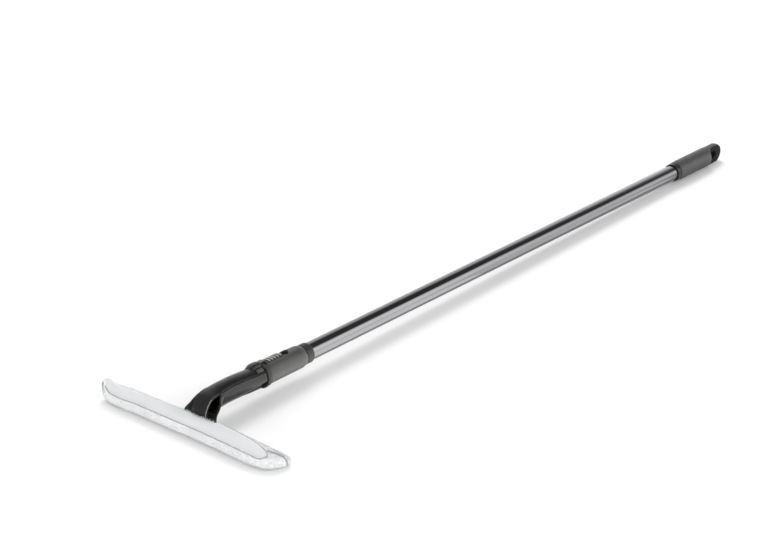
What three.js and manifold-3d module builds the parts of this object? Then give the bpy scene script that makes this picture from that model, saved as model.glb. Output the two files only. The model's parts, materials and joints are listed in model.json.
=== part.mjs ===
// A telescopic washing wiper: a T-shaped head in a microfibre sleeve, on a swan neck that
// plugs into a two-part twist-lock pole. It lies on the floor, on the sleeve and the grip.
// Millimetres, +Z up, the pole along +Y with the head at its -Y end, the head's bar along X.
import * as THREE from 'three';
import { mergeVertices } from 'three/addons/utils/BufferGeometryUtils.js';
import Module from 'manifold-3d';

// ---------------------------------------------------------------- driving dimensions
const GAP = 0.3; // clearance between touching pieces
const SIDES = 32; // facets round the pole's pieces

// The head: y is 0 near the middle of the bar until the whole is centred at the end.
const SLEEVE = { halfWidth: 136.5, front: -18, back: 15.4, bottom: 4.2, top: 17.8, corner: 16.4 };
const SLEEVE_WALL = { front: 3.6, back: 2.2, rearTop: 9 };
const PANEL = { halfWidth: 128, front: -18, back: 6.6, under: 11.2, corner: 12 };
const EAR = { width: 11, front: -12, back: -1, top: 22.5 };
const BAR = { halfWidth: 120, front: -13.5, back: 12.6, bottom: 5.4, top: 10, corner: 11 };
const TAPE = { halfWidth: 106, thickness: 0.6 };
const SADDLE = { halfWidth: 20, front: 7, back: 12.4, bottom: 10.3, lip: 12.4, lipBack: 18, top: 14.4, screwX: 14 };

// The neck's centre line from the pole down to the saddle, with its half-width and half-depth.
// Its section goes from round (spade 0) to a spade with a broad flat front (spade 1).
const NECK_STATIONS = [
  { y: 111, z: 28.1, wide: 14.1, deep: 14.1, spade: 0 },
  { y: 92, z: 28.6, wide: 14.1, deep: 13.9, spade: 0 },
  { y: 72, z: 30.4, wide: 14.1, deep: 13.9, spade: 0 },
  { y: 52, z: 31.2, wide: 14.1, deep: 14, spade: 0 },
  { y: 35, z: 30.2, wide: 15.4, deep: 14, spade: 0 },
  { y: 23, z: 26.8, wide: 22, deep: 13, spade: 0.3 },
  { y: 15, z: 20.8, wide: 28, deep: 8.4, spade: 0.8 },
  { y: 12.8, z: 12, wide: 30.5, deep: 6.2, spade: 1 },
];
const NECK_RINGS = 18;
const NECK_SIDES = 28;
const NECK_WALL = 2.4;
const NECK_HOLLOW = { from: 0.08, to: 1 }; // share of the centre line's length
const STRUT = 11; // half-width of the neck's front strut, between the windows
const SPINE_RISE = 9.6; // the shells part this far above the centre line
const NECK_SCREWS = [60, 86]; // y of the two screws that join the shells
const NECK_SCREW = { head: 3, shank: 1.5, boss: 3.4 };

// The coupling's face, and the pole frame: its y runs up the pole from that face.
const COUPLING = { y: 110, z: 28.3, roll: -16 };
const FLANGE = { outer: 14.6, from: -3.6, to: -GAP };
const SPIGOT = { outer: 8.7, inner: 6, from: -19, to: 33 };
const RING = { outer: 14.5, groove: 13.7, to: 4.2 };
const ADAPTER = { outer: 14, rear: 12.7, to: 68, socketTo: 34, chamferFrom: 63.5 };
const SLOT = { halfWidth: 8.2, to: 47, floor: 10.8 };
const BUTTON = { halfWidth: 7.6, from: 7, to: 37, top: 14.6, ribTop: 15.8, ribs: 5, under: 13.2 };
const CARRIAGE = { halfWidth: 6.8, from: 8, to: 36, top: 12.9, bottom: 11.2 };
const TONGUE = { halfWidth: 4.4, from: -6.5, bottom: 15, top: 16.4 };
const KEEPER = { halfWidth: 7, from: -20, peak: -10, to: -1.2, rise: 17.9 };
const LUG = { angle: 48, halfWidth: 1.7, from: -14.5, to: -5, rise: 1.2 };
const SPRING = { coil: 1.15, wire: 0.22, turns: 5, height: 12.5 };
const PIN = { y: 52, radius: 2 };

// The pole.
const OUTER_TUBE = { outer: 11, wall: 0.8, from: 73 };
const TUBE_END = 922;
const INNER_TUBE = { outer: 9.3, wall: 0.8, from: 35, to: 868 };
const COLLAR = { outer: 12.5, from: 68.6, to: 80.5, lip: 9.5 };
const BUSH = { length: 30, bore: 9.38 };
const STUD = { journal: 4.6, eccentric: 0.5, plugLength: 26, journalLength: 24 };
const LOCK_RING = { outer: 9.9, bore: 5.5, split: 1.6 };
const CAM_CAP = { radius: 8.2, thickness: 3 };

// The grip and its flattened, pierced end.
const FERRULE = { outer: 12.6, from: 845, to: 853.5 };
const GRIP = { outer: 13.5, from: 854, to: 965, mouth: 12.7, dome: 13 };
const EYE = { from: 935, to: 949, halfHeight: 4, scoopFrom: 929, scoopTo: 940, tab: 4.6 };
const TUBE_PLUG = { flange: 1.5, length: 20 };

// The pole slopes down until the grip's underside meets the floor.
const GRIP_REST = GRIP.to - GRIP.dome;
const TILT = Math.asin((COUPLING.z - GRIP.outer - 0.02) / GRIP_REST);
const TIP_Y = COUPLING.y + GRIP.to * Math.cos(TILT);
const CENTRE_Y = (SLEEVE.front + TIP_Y) / 2;

// ---------------------------------------------------------------- materials
const material = (color, roughness, metalness = 0) =>
  new THREE.MeshStandardMaterial({ color, roughness, metalness });
const blackLacquer = material(0x1c1d1d, 0.18, 0.6);
const bareSteel = material(0xb9bcbe, 0.3, 1);
const softGrey = material(0x4a4b4b, 0.62);
const darkPlastic = material(0x2f3030, 0.5);
const blackPlastic = material(0x232424, 0.42);
const nylon = material(0xd9d7cf, 0.45);
const carrierGrey = material(0x8d9092, 0.55);
const hookTape = material(0xe4e4e2, 0.9);
const plush = material(0xf1f1ef, 0.95);
const panelCloth = material(0xdfe0e1, 0.9);

// ---------------------------------------------------------------- solids
const wasm = await Module();
wasm.setup();

/** A closed three.js geometry as a manifold solid, turned right side out. */
function solid(geometry) {
  const bare = geometry.index ? geometry.toNonIndexed() : geometry.clone();
  bare.deleteAttribute('normal');
  bare.deleteAttribute('uv');
  const merged = mergeVertices(bare, 1e-4);
  const triVerts = new Uint32Array(merged.index.array);
  const vertProperties = new Float32Array(merged.attributes.position.array);
  const build = () => new wasm.Manifold(new wasm.Mesh({ numProp: 3, vertProperties, triVerts }));
  const made = build();
  if (made.volume() > 0) return made;
  for (let i = 0; i < triVerts.length; i += 3) {
    [triVerts[i + 1], triVerts[i + 2]] = [triVerts[i + 2], triVerts[i + 1]];
  }
  return build();
}

const join = (first, ...others) => others.reduce((sum, next) => sum.add(next), first);
const cut = (body, ...tools) => tools.reduce((rest, tool) => rest.subtract(tool), body);

/** A named mesh of a manifold solid or of a three.js geometry. */
function piece(name, shape, finish) {
  const made = shape.isBufferGeometry ? solid(shape) : shape;
  const { vertProperties, triVerts } = made.getMesh();
  const geometry = new THREE.BufferGeometry();
  geometry.setAttribute('position', new THREE.BufferAttribute(vertProperties, 3));
  geometry.setIndex(new THREE.BufferAttribute(triVerts, 1));
  geometry.computeVertexNormals();
  const mesh = new THREE.Mesh(geometry, finish);
  mesh.name = name;
  return mesh;
}

/** A turned solid about the Y axis; the outline is a closed list of [radius, y]. */
function turned(outline, sides = SIDES) {
  const points = outline.map(([radius, y]) => new THREE.Vector2(radius, y));
  if (outline[0][0] > 0) points.push(points[0].clone());
  return new THREE.LatheGeometry(points, sides);
}

const rod = (radius, from, to, sides = SIDES) =>
  turned([[0, from], [radius, from], [radius, to], [0, to]], sides);

const pipe = (outer, inner, from, to, sides = SIDES) =>
  turned([[inner, from], [outer, from], [outer, to], [inner, to]], sides);

/** A box between two corners. */
function block(low, high) {
  const size = high.map((value, i) => value - low[i]);
  const geometry = new THREE.BoxGeometry(...size);
  return geometry.translate(...low.map((value, i) => value + size[i] / 2));
}

/** A rectangle with round corners, in the XY plane. */
function roundedPlan(halfWidth, front, back, corner) {
  const shape = new THREE.Shape();
  shape.absarc(halfWidth - corner, front + corner, corner, -Math.PI / 2, 0);
  shape.absarc(halfWidth - corner, back - corner, corner, 0, Math.PI / 2);
  shape.absarc(corner - halfWidth, back - corner, corner, Math.PI / 2, Math.PI);
  shape.absarc(corner - halfWidth, front + corner, corner, Math.PI, 1.5 * Math.PI);
  return shape;
}

/** A plan drawn in XY, standing from one height to another. */
function slab(plan, bottom, top, curveSegments = 8) {
  const geometry = new THREE.ExtrudeGeometry(plan, {
    depth: top - bottom, bevelEnabled: false, curveSegments,
  });
  return geometry.translate(0, 0, bottom);
}

/** A side view drawn as (y, z), running from -halfWidth to halfWidth along X. */
function acrossX(sideView, halfWidth, curveSegments = 10) {
  const geometry = new THREE.ExtrudeGeometry(sideView, {
    depth: 2 * halfWidth, bevelEnabled: false, curveSegments,
  });
  const alongY = new THREE.Vector3(0, 1, 0);
  const alongZ = new THREE.Vector3(0, 0, 1);
  const alongX = new THREE.Vector3(1, 0, 0);
  geometry.applyMatrix4(new THREE.Matrix4().makeBasis(alongY, alongZ, alongX));
  return geometry.translate(-halfWidth, 0, 0);
}

const sideView = (points) => new THREE.Shape(points.map(([y, z]) => new THREE.Vector2(y, z)));

/** A skin over a row of rings of equal count, closed by a flat fan at each end. */
function skinned(rings) {
  const count = rings[0].length;
  const vertices = rings.flat();
  const middle = (ring) =>
    ring.reduce((sum, point) => sum.add(point), new THREE.Vector3()).divideScalar(count);
  const firstCentre = vertices.push(middle(rings[0])) - 1;
  const lastCentre = vertices.push(middle(rings.at(-1))) - 1;
  const lastStart = (rings.length - 1) * count;
  const faces = [];
  for (let side = 0; side < count; side++) {
    const next = (side + 1) % count;
    for (let ring = 0; ring + 1 < rings.length; ring++) {
      const a = ring * count + side;
      const b = ring * count + next;
      faces.push(a, b, a + count, b, b + count, a + count);
    }
    faces.push(firstCentre, next, side);
    faces.push(lastCentre, lastStart + side, lastStart + next);
  }
  const geometry = new THREE.BufferGeometry().setFromPoints(vertices);
  return geometry.setIndex(faces);
}

// ---------------------------------------------------------------- the head
function buildHead() {
  const head = new THREE.Group();

  const barPlan = roundedPlan(BAR.halfWidth, BAR.front, BAR.back, BAR.corner);
  const screwHoles = [-1, 1].map((side) => standingScrew(side, GAP));
  head.add(piece('t_bar', cut(solid(slab(barPlan, BAR.bottom, BAR.top)), ...screwHoles), carrierGrey));

  const { front, back, bottom, lip, lipBack, top } = SADDLE;
  const stem = slab(roundedPlan(SADDLE.halfWidth, front, back, 2.4), bottom, lip + 0.5);
  const plate = slab(roundedPlan(SADDLE.halfWidth, front, lipBack, 5), lip, top);
  const saddle = join(solid(stem), solid(plate));
  head.add(piece('bar_saddle', cut(saddle, ...screwHoles), blackPlastic));
  for (const [name, side] of [['left', -1], ['right', 1]]) {
    head.add(piece(`saddle_screw_${name}`, standingScrew(side, 0), bareSteel));
  }

  const topTape = roundedPlan(TAPE.halfWidth, BAR.front + 2, SADDLE.front - 1, 3);
  const topTapeUnder = BAR.top + GAP;
  head.add(piece('hook_tape_top', slab(topTape, topTapeUnder, topTapeUnder + TAPE.thickness), hookTape));
  const lowTape = roundedPlan(TAPE.halfWidth, BAR.front + 4, BAR.back - 4, 3);
  const lowTapeTop = BAR.bottom - GAP;
  const lowTapeSolid = solid(slab(lowTape, lowTapeTop - TAPE.thickness, lowTapeTop));
  head.add(piece('hook_tape_bottom', cut(lowTapeSolid, ...screwHoles), hookTape));

  head.add(...buildSleeve());
  return head;
}

/** A countersunk screw, driven up through the bar into the saddle; play widens it into its hole. */
function standingScrew(side, play) {
  const headTop = BAR.bottom + 2.2;
  const tip = SADDLE.top - (play ? -1 : 0.4);
  const outline = [
    [0, BAR.bottom - (play ? 2 : 0)],
    [3 + play, BAR.bottom - (play ? 2 : 0)],
    [3 + play, BAR.bottom + 0.6 + play],
    [1.4 + play, headTop + play],
    [1.4 + play, tip],
    [0, tip],
  ];
  const y = (SADDLE.front + SADDLE.back) / 2;
  return solid(turned(outline, 16).rotateX(Math.PI / 2).translate(side * SADDLE.screwX, y, 0));
}

/** The microfibre sleeve as six plain panels round the bar, left open where the neck comes out. */
function buildSleeve() {
  const { halfWidth, front, back, bottom, top, corner } = SLEEVE;
  const outside = roundedPlan(halfWidth, front, back, corner);
  const wallBottom = bottom + GAP;
  const wallTop = PANEL.under - GAP;
  const wallBlank = solid(slab(outside, wallBottom, wallTop));
  const walls = SLEEVE_WALL;
  const inner = roundedPlan(halfWidth - walls.front, front + walls.front, back - walls.back, corner - walls.front);
  const rim = cut(wallBlank, solid(slab(inner, wallBottom - 1, wallTop + 1)));
  const endX = BAR.halfWidth + 2;
  const frontStrip = solid(block([GAP - endX, front - 1, 0], [endX - GAP, 0, top]));
  const rearStrip = solid(block([GAP - endX, 0, 0], [endX - GAP, back + 1, walls.rearTop]));
  const endPlan = (side) => {
    const [low, high] = side < 0 ? [-halfWidth - 1, -endX] : [endX, halfWidth + 1];
    return solid(block([low, front - 1, 0], [high, back + 1, top]));
  };

  const earPlan = roundedPlan(EAR.width / 2, EAR.front, EAR.back, 3);
  const earMiddle = EAR.width / 2 - halfWidth + 0.8;
  const ear = solid(slab(earPlan, wallTop - 1, EAR.top).translate(earMiddle, 0, 0));
  const leftEndTop = solid(block([-halfWidth - 1, front - 1, PANEL.under - 1], [-endX, EAR.back, top]));
  const panelPlan = roundedPlan(PANEL.halfWidth, PANEL.front, PANEL.back, PANEL.corner);
  const panel = cut(
    solid(slab(panelPlan, PANEL.under, top)),
    solid(block([-halfWidth, front - 1, 0], [GAP - endX, back, top + 1])),
  );
  const leftCap = solid(slab(panelPlan, wallTop - 1, top)).intersect(leftEndTop);

  const leftEnd = join(wallBlank.intersect(endPlan(-1)), leftCap, ear);

  return [
    piece('sleeve_bottom', slab(outside, 0, bottom), plush),
    piece('sleeve_front', rim.intersect(frontStrip), plush),
    piece('sleeve_rear', rim.intersect(rearStrip), plush),
    piece('sleeve_top_panel', panel, panelCloth),
    piece('sleeve_end_left', leftEnd, plush),
    piece('sleeve_end_right', wallBlank.intersect(endPlan(1)), plush),
  ];
}

// ---------------------------------------------------------------- the neck
const neckLine = new THREE.CatmullRomCurve3(
  NECK_STATIONS.map(({ y, z }) => new THREE.Vector3(0, y, z)), false, 'centripetal',
);
const neckSizes = new THREE.CatmullRomCurve3(
  NECK_STATIONS.map(({ wide, deep, spade }) => new THREE.Vector3(wide, deep, 8 * spade)), false, 'catmullrom',
);

/** The neck's outer form, or a smaller one inside it, between two shares of its centre line. */
function neckForm(inset, from = 0, to = 1) {
  const rings = [];
  for (let i = 0; i < NECK_RINGS; i++) {
    const share = from + (to - from) * (i / (NECK_RINGS - 1));
    const centre = neckLine.getPoint(share);
    const along = neckLine.getTangent(share);
    const outward = new THREE.Vector3(1, 0, 0);
    const upward = new THREE.Vector3().crossVectors(along, outward);
    const { x: wide, y: deep, z: spadeTimes8 } = neckSizes.getPoint(share);
    const spade = spadeTimes8 / 8;
    const ring = [];
    for (let side = 0; side < NECK_SIDES; side++) {
      const angle = (2 * Math.PI * side) / NECK_SIDES;
      const [across, up] = [Math.cos(angle), Math.sin(angle)];
      const taper = (1 + 0.28 * spade * up) * (1 - 0.3 * spade * (1 - Math.max(up, 0)));
      ring.push(centre.clone()
        .addScaledVector(outward, (wide - inset) * across * taper)
        .addScaledVector(upward, (deep - inset) * up * (1 + 0.5 * spade * across ** 2)));
    }
    rings.push(ring);
  }
  return solid(skinned(rings));
}

/** The two windows beside the neck's front strut; their rear edge is drawn as (y, z). */
function neckWindows() {
  const view = new THREE.Shape().moveTo(30, 38).lineTo(27, 60).lineTo(-10, 60).lineTo(-10, 13);
  view.lineTo(8.2, 13).bezierCurveTo(8.6, 20, 20, 26, 30, 38);
  return cut(solid(acrossX(view, 40, 12)), solid(block([-STRUT, -20, 0], [STRUT, 60, 70])));
}

/** The upper shell's region: all above the line where the shells part, and the front strut. */
function aboveParting(play) {
  const line = NECK_STATIONS.slice(0, 5).map(({ y, z }) => [y, z + SPINE_RISE - play]);
  const apex = [30 - 2 * play, 38 - play];
  const spine = sideView([[130, line[0][1]], ...line, apex, [apex[0], 70], [130, 70]]);
  const strut = sideView([
    [30 + play, 38 - 2 * play], [22 + play, 29 - play], [12.6 + play, 10], [-10, 10], [-10, 70], [30 + play, 70],
  ]);
  return join(solid(acrossX(spine, 40)), solid(acrossX(strut, STRUT + play)));
}

/** A screw from below at y, up through the lower shell into the upper one. */
function neckScrew(y, play) {
  const station = neckLine.getPoint(shareAtY(y));
  const low = station.z - 13.6;
  const tip = station.z + SPINE_RISE + 1.4 + play;
  const outline = [
    [0, low - (play ? 4 : 0)],
    [NECK_SCREW.head + play, low - (play ? 4 : 0)],
    [NECK_SCREW.head + play, low + 2.4 + play],
    [NECK_SCREW.shank + play, low + 2.4 + play],
    [NECK_SCREW.shank + play, tip],
    [0, tip],
  ];
  return solid(turned(outline, 16).rotateX(Math.PI / 2).translate(0, y, 0));
}

function shareAtY(y) {
  let share = 0;
  while (neckLine.getPoint(share).y > y) share += 0.001;
  return share;
}

function buildNeck(toHead) {
  const neck = new THREE.Group();
  const inPole = (shape) => shape.transform(toHead.elements);
  const spigotHole = inPole(solid(rod(SPIGOT.outer + GAP, SPIGOT.from - GAP, 10)));
  const hollow = neckForm(NECK_WALL, NECK_HOLLOW.from, NECK_HOLLOW.to);
  const bosses = join(...NECK_SCREWS.map((y) => {
    const { z } = neckLine.getPoint(shareAtY(y));
    const post = turned([[0, z - 14], [NECK_SCREW.boss, z - 14], [NECK_SCREW.boss, z + 13], [0, z + 13]], 16);
    return solid(post.rotateX(Math.PI / 2).translate(0, y, 0));
  }));
  const holes = join(...NECK_SCREWS.map((y) => neckScrew(y, GAP)));
  const spigotSeat = inPole(solid(rod(SPIGOT.outer + 4.5, SPIGOT.from - 3, 0)));
  const underFoot = solid(block([-40, 0, 0], [40, 40, SADDLE.top + GAP]));
  const behindPanel = solid(block([-40, -20, 0], [40, PANEL.back + GAP, SLEEVE.top + GAP]));
  const beyondFlange = inPole(solid(block([-40, FLANGE.from - GAP, -40], [40, 40, 40])));
  const outer = cut(neckForm(0), underFoot, behindPanel, beyondFlange);
  const walls = join(cut(outer, hollow), outer.intersect(join(bosses, spigotSeat)));
  const shell = cut(walls, spigotHole, holes, neckWindows());

  neck.add(piece('neck_upper_shell', shell.intersect(aboveParting(0)), blackPlastic));
  neck.add(piece('neck_lower_shell', cut(shell, aboveParting(GAP)), blackPlastic));
  NECK_SCREWS.forEach((y, i) => {
    neck.add(piece(`neck_screw_${i ? 'rear' : 'front'}`, neckScrew(y, 0), bareSteel));
  });
  return { neck, outer };
}

// ---------------------------------------------------------------- the coupling
/** A part of a ring about the pole, cut to a width across the top. */
const topPlate = (bottom, top, halfWidth, from, to) =>
  solid(pipe(top, bottom, from, to, 2 * SIDES)).intersect(
    solid(block([-halfWidth, from - 1, 0], [halfWidth, to + 1, top + 1])));

function buildCoupling(neckOuter, fromHead) {
  const coupling = new THREE.Group();
  const neckHere = neckOuter.transform(fromHead.elements);
  coupling.add(piece('neck_spigot', pipe(SPIGOT.outer, SPIGOT.inner, SPIGOT.from, SPIGOT.to), blackPlastic));

  const flangeOutline = [
    [SPIGOT.outer + GAP, FLANGE.from], [FLANGE.outer - 0.8, FLANGE.from],
    [FLANGE.outer, FLANGE.from + 0.9], [FLANGE.outer, FLANGE.to - 0.5],
    [FLANGE.outer - 0.5, FLANGE.to], [SPIGOT.outer + GAP, FLANGE.to],
  ];
  coupling.add(piece('neck_flange', turned(flangeOutline), blackPlastic));

  const hump = solid(acrossX(sideView([
    [KEEPER.from, 8], [KEEPER.from, 13.6], [KEEPER.peak - 4, KEEPER.rise - 0.9], [KEEPER.peak, KEEPER.rise],
    [KEEPER.to - 3, KEEPER.rise], [KEEPER.to, KEEPER.rise - 1.2], [KEEPER.to, 8],
  ]), KEEPER.halfWidth));
  const pocket = solid(block(
    [-TONGUE.halfWidth - 0.5, TONGUE.from - 1, TONGUE.bottom - 1.4],
    [TONGUE.halfWidth + 0.5, 10, TONGUE.top + 0.5],
  ));
  const seat = solid(rod(FLANGE.outer + GAP, FLANGE.from - 1.2 * GAP, 10));
  coupling.add(piece('latch_keeper', cut(hump, neckRaised(neckHere), pocket, seat), blackPlastic));

  for (const [name, side] of [['left', -1], ['right', 1]]) {
    coupling.add(piece(`bayonet_lug_${name}`, bayonetLug(side, neckHere), carrierGrey));
  }
  coupling.add(...adapterPieces());
  return coupling;
}

/** The neck's form lifted by the gap, for what sits on it. */
const neckRaised = (form) => join(form, form.translate(0, 0, GAP), form.translate(0, 0, GAP / 2));

/** A small lug that bears on the neck beside the keeper, on one side of the top. */
function bayonetLug(side, neckHere) {
  const angle = THREE.MathUtils.degToRad(LUG.angle);
  const lug = block(
    [-LUG.halfWidth, LUG.from, FLANGE.outer - 1.5], [LUG.halfWidth, LUG.to, FLANGE.outer + LUG.rise],
  ).rotateY(side * angle);
  const lifted = neckHere.translate(side * GAP * Math.sin(angle), 0, GAP * Math.cos(angle));
  return cut(solid(lug), neckHere, lifted);
}

function adapterPieces() {
  const notch = solid(block([-TONGUE.halfWidth - 0.6, -5, SLOT.floor], [TONGUE.halfWidth + 0.6, 10, 20]));
  const ringOutline = [
    [SPIGOT.outer + GAP, 0], [RING.outer - 0.5, 0], [RING.outer, 0.5], [RING.outer, 2.2],
    [RING.groove, 2.6], [RING.groove, 3.4], [RING.outer - 0.2, 3.8], [RING.outer - 0.2, RING.to - 0.4],
    [RING.outer - 0.6, RING.to], [SPIGOT.outer + GAP, RING.to],
  ];
  const ring = cut(solid(turned(ringOutline)), notch);

  const from = RING.to + GAP;
  const bodyOutline = [
    [SPIGOT.outer + GAP, from], [ADAPTER.outer - 0.4, from], [ADAPTER.outer, from + 0.4],
    [ADAPTER.outer, ADAPTER.chamferFrom], [ADAPTER.rear, ADAPTER.to],
    [INNER_TUBE.outer + GAP, ADAPTER.to], [INNER_TUBE.outer + GAP, ADAPTER.socketTo],
    [SPIGOT.outer + GAP, ADAPTER.socketTo],
  ];
  const core = solid(rod(SLOT.floor, -1, SLOT.to + 1, 2 * SIDES));
  const slot = cut(roundBack(SLOT.halfWidth, SLOT.to), core);
  const pinHole = solid(rod(PIN.radius + GAP, -20, 20, 16).rotateX(Math.PI / 2).translate(0, PIN.y, 0));
  const body = cut(solid(turned(bodyOutline)), slot, pinHole);

  const pinLength = ADAPTER.outer - 0.3;
  const pin = rod(PIN.radius, -pinLength, pinLength, 16).rotateX(Math.PI / 2).translate(0, PIN.y, 0);
  return [
    piece('coupling_ring', ring, softGrey),
    piece('adapter_sleeve', body, softGrey),
    piece('adapter_pin', pin, bareSteel),
  ];
}

function buildSlider() {
  const slider = new THREE.Group();
  const { halfWidth, from, to, top, ribTop, ribs, under } = BUTTON;
  const plate = topPlate(under, top, halfWidth, from, to).intersect(roundBack(halfWidth, to));
  const pitch = (to - from - 3) / ribs;
  const ribBars = Array.from({ length: ribs }, (_, i) => {
    const start = from + 2.4 + i * pitch;
    return topPlate(top - 0.5, ribTop, halfWidth - 0.6, start, start + pitch * 0.45);
  });
  const tongue = solid(block(
    [-TONGUE.halfWidth, TONGUE.from, TONGUE.bottom], [TONGUE.halfWidth, from + 1.2, TONGUE.top],
  ));
  const heel = solid(block([-TONGUE.halfWidth, from, 13.2], [TONGUE.halfWidth, from + 1.2, TONGUE.bottom + 0.5]));
  slider.add(piece('release_button', join(plate, tongue, heel, ...ribBars), softGrey));

  const runner = topPlate(CARRIAGE.bottom, CARRIAGE.top, CARRIAGE.halfWidth, CARRIAGE.from, CARRIAGE.to);
  const carriage = runner.intersect(roundBack(CARRIAGE.halfWidth, CARRIAGE.to));
  slider.add(piece('slider_carriage', carriage, nylon));
  slider.add(piece('slider_spring', springCoil(), bareSteel));
  return slider;
}

/** A tall blank whose plan is straight in front and round at its rear end, like the slot. */
function roundBack(halfWidth, to) {
  const plan = new THREE.Shape();
  plan.moveTo(-halfWidth, 0);
  plan.lineTo(halfWidth, 0);
  plan.absarc(0, to - halfWidth, halfWidth, 0, Math.PI);
  return solid(slab(plan, 0, 20));
}

/** The return spring, between the carriage and the slot's rear wall. */
function springCoil() {
  const start = BUTTON.to + GAP;
  const length = SLOT.to - start - 1.2;
  class Coil extends THREE.Curve {
    getPoint(share, target = new THREE.Vector3()) {
      const turn = 2 * Math.PI * SPRING.turns * share;
      return target.set(
        SPRING.coil * Math.cos(turn), start + SPRING.wire + share * length,
        SPRING.height + SPRING.coil * Math.sin(turn),
      );
    }
  }
  const wire = new THREE.Shape();
  wire.absarc(0, 0, SPRING.wire, 0, 2 * Math.PI);
  return new THREE.ExtrudeGeometry(wire, {
    steps: 8 * SPRING.turns, curveSegments: 2, extrudePath: new Coil(), bevelEnabled: false,
  });
}

// ---------------------------------------------------------------- the pole
function buildOuterPole() {
  const pole = new THREE.Group();
  const bore = OUTER_TUBE.outer - OUTER_TUBE.wall;
  pole.add(piece('outer_tube', pipe(OUTER_TUBE.outer, bore, OUTER_TUBE.from, TUBE_END), blackLacquer));

  const { outer, from, to, lip } = COLLAR;
  const collarOutline = [
    [lip, from], [outer - 0.7, from], [outer, from + 0.8], [outer, to - 0.8], [outer - 0.7, to],
    [OUTER_TUBE.outer + GAP, to], [OUTER_TUBE.outer + GAP, OUTER_TUBE.from - GAP],
    [lip, OUTER_TUBE.from - GAP],
  ];
  pole.add(piece('mouth_collar', turned(collarOutline), darkPlastic));
  const bushFrom = OUTER_TUBE.from + 0.5;
  pole.add(piece('mouth_bush', pipe(bore - 0.2, BUSH.bore, bushFrom, bushFrom + BUSH.length), nylon));

  const ferruleOutline = [
    [OUTER_TUBE.outer + 0.1, FERRULE.from], [FERRULE.outer - 0.5, FERRULE.from],
    [FERRULE.outer, FERRULE.from + 0.8], [FERRULE.outer, FERRULE.to], [OUTER_TUBE.outer + 0.1, FERRULE.to],
  ];
  pole.add(piece('grip_ferrule', turned(ferruleOutline), blackPlastic));
  pole.add(piece('grip', gripSolid(), softGrey));

  const plugFrom = TUBE_END - TUBE_PLUG.length;
  const plugTo = TUBE_END - TUBE_PLUG.flange;
  pole.add(piece('tube_end_plug', rod(bore - 0.2, plugFrom, plugTo), nylon));
  return pole;
}

/** The grip: a sleeve over the tube whose end is domed, scooped flat on both sides and pierced. */
function gripSolid() {
  const { outer, from, to, mouth, dome } = GRIP;
  const outline = [
    [OUTER_TUBE.outer + GAP, from], [mouth, from], [outer - 0.3, from + 1.2], [outer, from + 5],
  ];
  const domeSteps = 8;
  for (let i = 0; i <= domeSteps; i++) {
    const angle = (Math.PI / 2) * (i / domeSteps);
    outline.push([outer * Math.cos(angle), to - dome + dome * Math.sin(angle)]);
  }
  outline[outline.length - 1][0] = 0;
  outline.push([0, TUBE_END + GAP], [OUTER_TUBE.outer + GAP, TUBE_END + GAP]);
  const body = solid(turned(outline));

  const { scoopFrom, scoopTo, tab } = EYE;
  const scoop = new THREE.Shape();
  scoop.moveTo(outer + 2, scoopFrom - 2);
  scoop.quadraticCurveTo(tab, scoopFrom, tab, scoopTo);
  scoop.lineTo(tab, to + 2);
  scoop.lineTo(outer + 2, to + 2);
  const rightScoop = solid(slab(scoop, -20, 20));
  const leftScoop = solid(slab(scoop, -20, 20).rotateY(Math.PI));

  const eye = new THREE.Shape();
  eye.absarc(EYE.from + EYE.halfHeight, 0, EYE.halfHeight, Math.PI / 2, 1.5 * Math.PI);
  eye.absarc(EYE.to - EYE.halfHeight, 0, EYE.halfHeight, -Math.PI / 2, Math.PI / 2);
  return cut(body, rightScoop, leftScoop, solid(acrossX(eye, 30, 8)));
}

// ---------------------------------------------------------------- the twist lock
function buildLock() {
  const end = INNER_TUBE.to;
  const { journal, journalLength, eccentric } = STUD;
  const bore = solid(rod(LOCK_RING.bore, end - 1, end + journalLength + 10));
  const blank = solid(rod(LOCK_RING.outer, end + 3.4, end + journalLength - 0.6));
  const split = solid(block([-LOCK_RING.split / 2, end, 0], [LOCK_RING.split / 2, end + 40, 20]));
  const ring = piece('lock_ring', cut(blank, bore, split), nylon);

  const plugRadius = INNER_TUBE.outer - INNER_TUBE.wall - 0.2;
  const stud = join(
    solid(rod(plugRadius, end - STUD.plugLength, end)),
    solid(rod(INNER_TUBE.outer, end + GAP, end + 3)),
    solid(rod(plugRadius - 1, end - 2, end + 2)),
    solid(rod(journal, end, end + journalLength).translate(0, 0, eccentric)),
  );
  const capFrom = end + journalLength + GAP;
  const cap = piece('cam_cap', rod(CAM_CAP.radius, capFrom, capFrom + CAM_CAP.thickness), nylon);
  return { lock: ring, camStud: piece('cam_stud', stud, nylon), camCap: cap };
}

function buildInnerPole() {
  const inner = INNER_TUBE.outer - INNER_TUBE.wall;
  const pinHole = rod(PIN.radius + GAP, -20, 20, 16).rotateX(Math.PI / 2).translate(0, PIN.y, 0);
  const tube = cut(solid(pipe(INNER_TUBE.outer, inner, INNER_TUBE.from, INNER_TUBE.to)), solid(pinHole));
  return piece('inner_tube', tube, bareSteel);
}

// ---------------------------------------------------------------- the whole tool
/** The pole's frame in the head's: at the coupling's face, sloping down to the grip. */
const poleFrame = new THREE.Matrix4().makeRotationX(-TILT).setPosition(0, COUPLING.y, COUPLING.z);
/** The same, rolled about the pole as the latch is. */
const latchFrame = poleFrame.clone().multiply(
  new THREE.Matrix4().makeRotationY(THREE.MathUtils.degToRad(COUPLING.roll)),
);

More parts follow.
